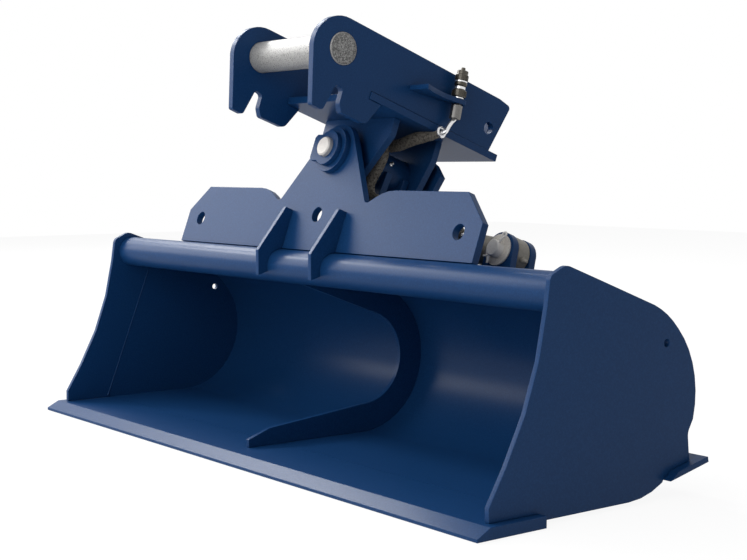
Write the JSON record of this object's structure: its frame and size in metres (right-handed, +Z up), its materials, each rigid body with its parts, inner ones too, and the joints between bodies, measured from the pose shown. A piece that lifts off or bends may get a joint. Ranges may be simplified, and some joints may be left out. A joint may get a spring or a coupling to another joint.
{
  "type": "tilting ditching bucket",
  "caption": "Wide grading and ditching bucket for a small excavator, with a hitch head that tilts sideways on a pin, moved by one hydraulic cylinder.",
  "frame": {"origin": "middle of the cutting edge's flat underside", "axes": "+Z up, +X across the bucket along the cutting edge, +Y from the cutting edge towards the bucket's round back. The tilt axis slopes 20 degrees down towards +Y."},
  "size_m": [1.2, 0.5033, 0.6808],
  "materials": {
    "navy_paint": "semi-gloss dark navy paint",
    "raw_steel": "bare turned steel",
    "blasted_steel": "satin light grey steel",
    "bright_steel": "bright plated steel",
    "grey_primer": "matt grey-brown primer",
    "bronze": "plain bronze",
    "hose_rubber": "matt rubber hose cover"
  },
  "bodies": {
    "bucket": {"cutting_edge": "navy_paint", "shell": "navy_paint", "side_plate_left": "navy_paint", "side_plate_right": "navy_paint", "torque_tube": "navy_paint", "centre_rib": "navy_paint", "rear_edge": "navy_paint", "front_pivot_plate": "navy_paint", "rear_pivot_plate": "navy_paint", "gusset_left": "navy_paint", "gusset_right": "navy_paint", "pivot_boss": "navy_paint", "tilt_pin": "raw_steel", "keeper_plate": "navy_paint", "cylinder_lug_front": "navy_paint", "cylinder_lug_rear": "navy_paint", "base_pin": "raw_steel", "pin_washer": "raw_steel", "split_pin": "bright_steel"},
    "head": {"hub_tube": "navy_paint", "bush_front": "bronze", "bush_rear": "bronze", "front_arm": "navy_paint", "rear_arm": "navy_paint", "lever_plate_front": "navy_paint", "lever_plate_rear": "navy_paint", "lever_pin": "raw_steel", "lever_pin_ring": "raw_steel", "head_base_plate": "navy_paint", "head_cross_plate": "navy_paint", "ear_left": "navy_paint", "ear_right": "navy_paint", "hitch_shaft": "blasted_steel", "hose_end_left": "bright_steel", "hose_end_right": "bright_steel", "stem_left": "bright_steel", "stem_right": "bright_steel", "line_nut_left": "raw_steel", "line_nut_right": "raw_steel", "coupler_left": "raw_steel", "coupler_right": "raw_steel", "hose_left": "hose_rubber", "hose_right": "hose_rubber"},
    "cylinder": {"barrel": "grey_primer", "base_eye": "grey_primer", "gland": "raw_steel", "grease_nipple": "grey_primer", "banjo_base": "bright_steel", "banjo_gland": "bright_steel"},
    "rod": {"piston_rod": "bright_steel", "piston": "raw_steel", "rod_eye": "grey_primer"}
  },
  "joints": [
    {"name": "tilt", "type": "hinge", "parent": "bucket", "child": "head", "pos_m": [0, 0.17052, 0.47879], "axis": [0, 0.9397, -0.342], "range_deg": [-40, 40], "deforming": ["hose_left", "hose_right"]},
    {"name": "cylinder_swing", "type": "hinge", "parent": "bucket", "child": "cylinder", "pos_m": [0.35, 0.22906, 0.32531], "axis": [0, 0.9397, -0.342], "range_deg": [-0.96, 0.96]},
    {"name": "rod_slide", "type": "slide", "parent": "cylinder", "child": "rod", "axis": [-0.9964, 0.0288, 0.0792], "range_m": [-0.0687, 0.0687]}
  ],
  "couplings": [
    {"joint": "cylinder_swing", "follows": "tilt", "ratio": -0.0237},
    {"joint": "rod_slide", "follows": "tilt", "m_per_rad": 0.0983}
  ]
}
